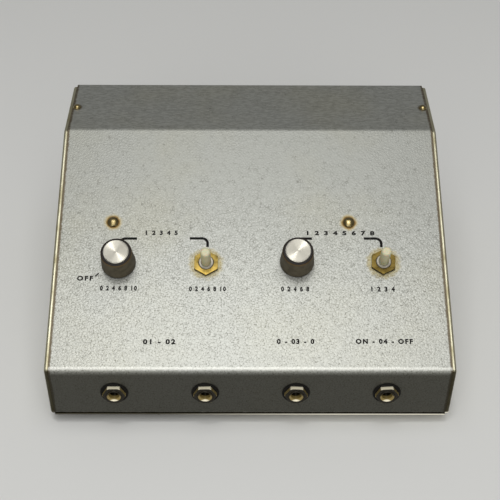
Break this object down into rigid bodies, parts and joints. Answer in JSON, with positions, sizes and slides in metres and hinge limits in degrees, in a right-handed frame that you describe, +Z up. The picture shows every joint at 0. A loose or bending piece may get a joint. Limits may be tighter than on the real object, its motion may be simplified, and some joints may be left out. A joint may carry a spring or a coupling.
{
  "type": "spring reverb unit",
  "caption": "Battery spring reverb in a sloping folded steel desk case, with rotary controls on the slope and quarter-inch jacks along the front.",
  "frame": {"origin": "middle of the footprint, on the surface that the rubber feet stand on", "axes": "+X to the right seen from the front, +Y from the jacks to the back, +Z up"},
  "size_m": [0.254, 0.2196, 0.1202],
  "materials": {
    "hammered_enamel": "hammered silver stove enamel",
    "tray_plate": "zinc plate, passivated yellow",
    "browned_steel": "domed steel heads, browned with age",
    "foot_rubber": "moulded black rubber",
    "phenolic": "moulded dark brown phenolic",
    "spun_aluminium": "spun and lacquered",
    "die_cast": "die cast",
    "nylon": "natural nylon, yellowed",
    "brass": "tarnished brass",
    "nickel": "nickel plate, dulled",
    "zinc_steel": "zinc plated steel",
    "fibre": "black vulcanised fibre",
    "laminate": "brown paper laminate",
    "spring_bronze": "phosphor bronze strip",
    "copper_wire": "enamelled copper winding",
    "iron": "stacked laminations",
    "ceramic": "coated carbon rods",
    "card": "plain blue card jacket",
    "wire_cover": "pvc wire covering"
  },
  "bodies": {
    "case": {"base_tray": "tray_plate", "top_cover": "hammered_enamel", "cover_top_rivets": "browned_steel", "cover_base_screws": "zinc_steel", "rubber_feet": "foot_rubber", "foot_screws": "zinc_steel", "pot_bushes": "die_cast", "pot_washers": "zinc_steel", "pot_tracks": "laminate", "pot_nuts": "brass", "power_switch": "phenolic", "solder_tags": "zinc_steel", "jack_washers": "fibre", "jack_insulators": "fibre", "jack_nuts": "nickel", "tank_channel": "zinc_steel", "tank_bolts": "browned_steel", "tank_grommets": "foot_rubber", "tank_nuts": "zinc_steel", "transducer_cores": "iron", "transducer_coils": "copper_wire", "reverb_springs": "zinc_steel", "circuit_board": "laminate", "board_pillars": "zinc_steel", "chassis_screws": "zinc_steel", "transistors": "die_cast", "capacitors": "die_cast", "resistors": "ceramic", "battery": "card", "battery_clamp": "zinc_steel", "battery_snaps": "fibre", "hookup_wires": "wire_cover", "pot_can_1": "zinc_steel", "jack_frame_1": "nickel", "pot_can_2": "zinc_steel", "jack_frame_2": "nickel", "pot_can_3": "zinc_steel", "jack_frame_3": "nickel", "pot_can_4": "zinc_steel", "jack_frame_4": "nickel"},
    "control_1": {"pot_shaft_1": "nylon", "pot_wiper_1": "laminate", "knob_body_1": "phenolic", "knob_insert_1": "brass", "knob_screw_1": "zinc_steel", "knob_cap_1": "spun_aluminium"},
    "tip_contact_1": {"jack_tip_spring_1": "spring_bronze"},
    "control_2": {"pot_shaft_2": "nylon", "pot_wiper_2": "laminate"},
    "tip_contact_2": {"jack_tip_spring_2": "spring_bronze"},
    "control_3": {"pot_shaft_3": "nylon", "pot_wiper_3": "laminate", "knob_body_3": "phenolic", "knob_insert_3": "brass", "knob_screw_3": "zinc_steel", "knob_cap_3": "spun_aluminium"},
    "tip_contact_3": {"jack_tip_spring_3": "spring_bronze"},
    "control_4": {"pot_shaft_4": "nylon", "pot_wiper_4": "laminate"},
    "tip_contact_4": {"jack_tip_spring_4": "spring_bronze"}
  },
  "joints": [
    {"name": "first_volume_turn", "type": "hinge", "parent": "case", "child": "control_1", "pos_m": [-0.0843, -0.03951, 0.07758], "axis": [0, 0.4051, -0.9143], "range_deg": [0, 300]},
    {"name": "second_volume_turn", "type": "hinge", "parent": "case", "child": "control_2", "pos_m": [-0.0283, -0.03978, 0.07745], "axis": [0, 0.4051, -0.9143], "range_deg": [-150, 150]},
    {"name": "depth_turn", "type": "hinge", "parent": "case", "child": "control_3", "pos_m": [0.0299, -0.0386, 0.07798], "axis": [0, 0.4051, -0.9143], "range_deg": [-150, 150]},
    {"name": "tone_turn", "type": "hinge", "parent": "case", "child": "control_4", "pos_m": [0.0853, -0.03905, 0.07778], "axis": [0, 0.4051, -0.9143], "range_deg": [-150, 150]},
    {"name": "tip_contact_1_lift", "type": "hinge", "parent": "case", "child": "tip_contact_1", "pos_m": [-0.0847, -0.09415, 0.0361], "axis": [1, 0, 0], "range_deg": [0, 7], "stiffness_Nm_per_rad": 0.1},
    {"name": "tip_contact_2_lift", "type": "hinge", "parent": "case", "child": "tip_contact_2", "pos_m": [-0.0281, -0.09415, 0.0361], "axis": [1, 0, 0], "range_deg": [0, 7], "stiffness_Nm_per_rad": 0.1},
    {"name": "tip_contact_3_lift", "type": "hinge", "parent": "case", "child": "tip_contact_3", "pos_m": [0.0285, -0.09415, 0.0361], "axis": [1, 0, 0], "range_deg": [0, 7], "stiffness_Nm_per_rad": 0.1},
    {"name": "tip_contact_4_lift", "type": "hinge", "parent": "case", "child": "tip_contact_4", "pos_m": [0.0851, -0.09415, 0.0361], "axis": [1, 0, 0], "range_deg": [0, 7], "stiffness_Nm_per_rad": 0.1}
  ]
}
